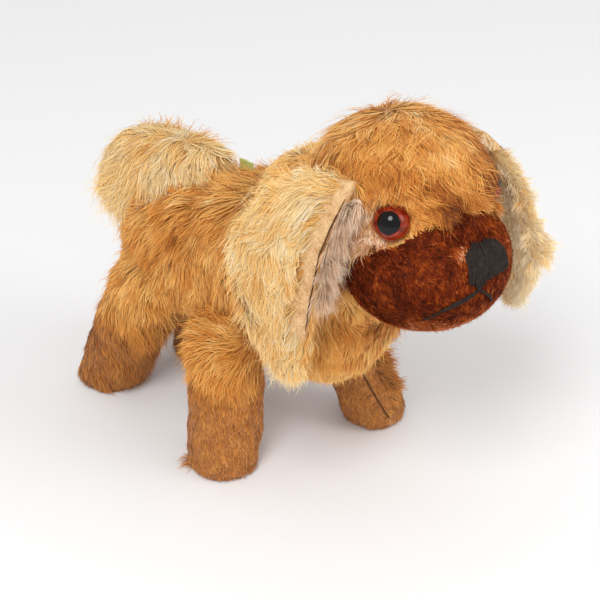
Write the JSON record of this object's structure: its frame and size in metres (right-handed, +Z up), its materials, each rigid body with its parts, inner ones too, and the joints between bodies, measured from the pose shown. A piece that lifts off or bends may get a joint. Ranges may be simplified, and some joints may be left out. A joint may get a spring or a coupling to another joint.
{
  "type": "stuffed mohair toy dog",
  "caption": "Standing stuffed dog in golden mohair with a swivel head, pale flap ears, felt muzzle, glass eyes, sewn nose and a tail curled over its back.",
  "frame": {"origin": "the ground point under the middle of the dog's bounding box, at the level of the four soles", "axes": "+Z up, -Y the way the dog's body faces, +X the dog's left; the head is turned 8 degrees to the dog's right at rest"},
  "size_m": [0.1112, 0.2262, 0.186],
  "materials": {
    "mohair_golden": "long golden-brown mohair pile on a woven cotton backing, about 12 mm deep",
    "mohair_pale": "long pale cream-gold mohair pile, worn back to the weave along the seams",
    "mohair_worn": "short worn mohair with the weave showing",
    "muzzle_felt": "rust-brown brushed felt",
    "black_thread": "matt charcoal cotton embroidery thread",
    "wood_wool": "fine wood wool, firmly packed",
    "card": "dull grey-brown pressed card",
    "steel_wire": "plain steel",
    "amber_glass": "polished red-brown glass, opaque",
    "black_glass": "polished black glass, opaque",
    "green_ribbon": "frayed yellow-green ribbon"
  },
  "bodies": {
    "body": {"back_seam_ribbon": "green_ribbon", "belly_gusset": "mohair_golden", "body_side_left": "mohair_golden", "body_side_right": "mohair_golden", "body_stuffing": "wood_wool", "leg_front_left_inner": "mohair_worn", "leg_front_left_insole": "card", "leg_front_left_outer": "mohair_worn", "leg_front_left_sole": "mohair_worn", "leg_front_left_stuffing": "wood_wool", "leg_front_right_inner": "mohair_worn", "leg_front_right_insole": "card", "leg_front_right_outer": "mohair_worn", "leg_front_right_sole": "mohair_worn", "leg_front_right_stuffing": "wood_wool", "leg_rear_left_inner": "mohair_worn", "leg_rear_left_insole": "card", "leg_rear_left_outer": "mohair_worn", "leg_rear_left_sole": "mohair_worn", "leg_rear_left_stuffing": "wood_wool", "leg_rear_right_inner": "mohair_worn", "leg_rear_right_insole": "card", "leg_rear_right_outer": "mohair_worn", "leg_rear_right_sole": "mohair_worn", "leg_rear_right_stuffing": "wood_wool", "neck_disc_body": "card", "neck_split_pin": "steel_wire", "neck_washer_body": "steel_wire"},
    "head": {"eye_left_iris": "amber_glass", "eye_left_pupil": "black_glass", "eye_left_shank": "steel_wire", "eye_right_iris": "amber_glass", "eye_right_pupil": "black_glass", "eye_right_shank": "steel_wire", "head_gusset": "mohair_golden", "head_side_left": "mohair_golden", "head_side_right": "mohair_golden", "head_stuffing": "wood_wool", "mouth_stitches": "black_thread", "muzzle_felt": "muzzle_felt", "neck_disc_head": "card", "neck_washer_head": "steel_wire", "nose_embroidery": "black_thread"},
    "right_ear": {"ear_right_lining": "mohair_pale", "ear_right_mohair": "mohair_pale"},
    "left_ear": {"ear_left_lining": "mohair_pale", "ear_left_mohair": "mohair_pale"},
    "tail": {"tail_stuffing": "wood_wool", "tail_under": "mohair_pale", "tail_upper": "mohair_pale"}
  },
  "joints": [
    {"name": "head_swivel", "type": "hinge", "parent": "body", "child": "head", "pos_m": [-0.00262, -0.05131, 0.1304], "axis": [0, -0.6293, 0.7771], "range_deg": [-35, 35]},
    {"name": "ear_right_flap", "type": "hinge", "parent": "head", "child": "right_ear", "pos_m": [-0.03334, -0.0586, 0.1685], "axis": [0.0123, 0.9839, -0.1783], "range_deg": [0, 70]},
    {"name": "ear_left_flap", "type": "hinge", "parent": "head", "child": "left_ear", "pos_m": [0.02905, -0.06737, 0.1685], "axis": [-0.2594, -0.9492, 0.1783], "range_deg": [0, 70]},
    {"name": "tail_lift", "type": "hinge", "parent": "body", "child": "tail", "pos_m": [-0.00262, 0.09259, 0.108], "axis": [-1, 0, 0], "range_deg": [0, 40]}
  ]
}
